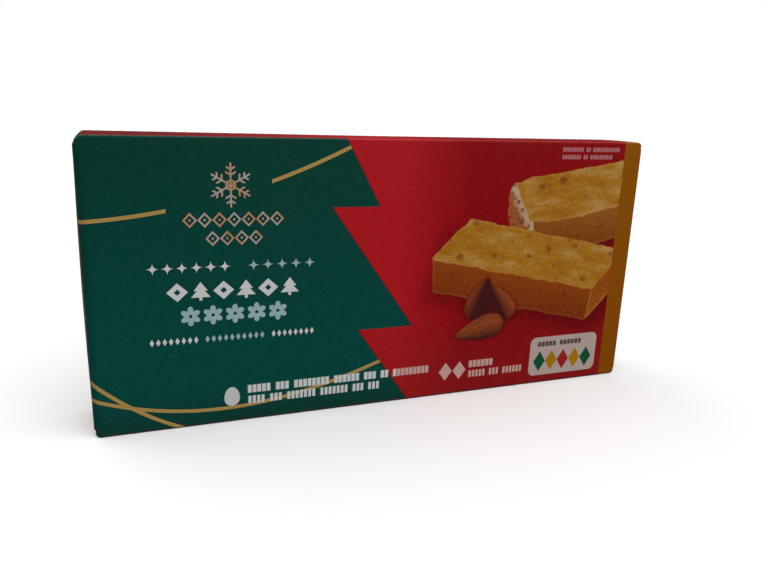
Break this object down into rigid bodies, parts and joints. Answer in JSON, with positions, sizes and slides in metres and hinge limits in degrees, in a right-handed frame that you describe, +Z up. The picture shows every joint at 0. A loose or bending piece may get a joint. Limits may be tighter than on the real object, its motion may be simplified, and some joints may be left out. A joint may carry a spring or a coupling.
{
  "type": "closed nougat carton",
  "caption": "Shut folding carton for a bar of nougat: a long flat printed box standing on its long narrow side.",
  "frame": {"origin": "middle of the long narrow side that the carton rests on", "axes": "+X along the carton, to the right of someone facing its front; +Y from the front to the back; +Z up"},
  "size_m": [0.193, 0.0232, 0.0903],
  "materials": {
    "printed_board": "printed folding board under a satin varnish"
  },
  "bodies": {
    "root": {"carton": "printed_board"}
  },
  "joints": []
}
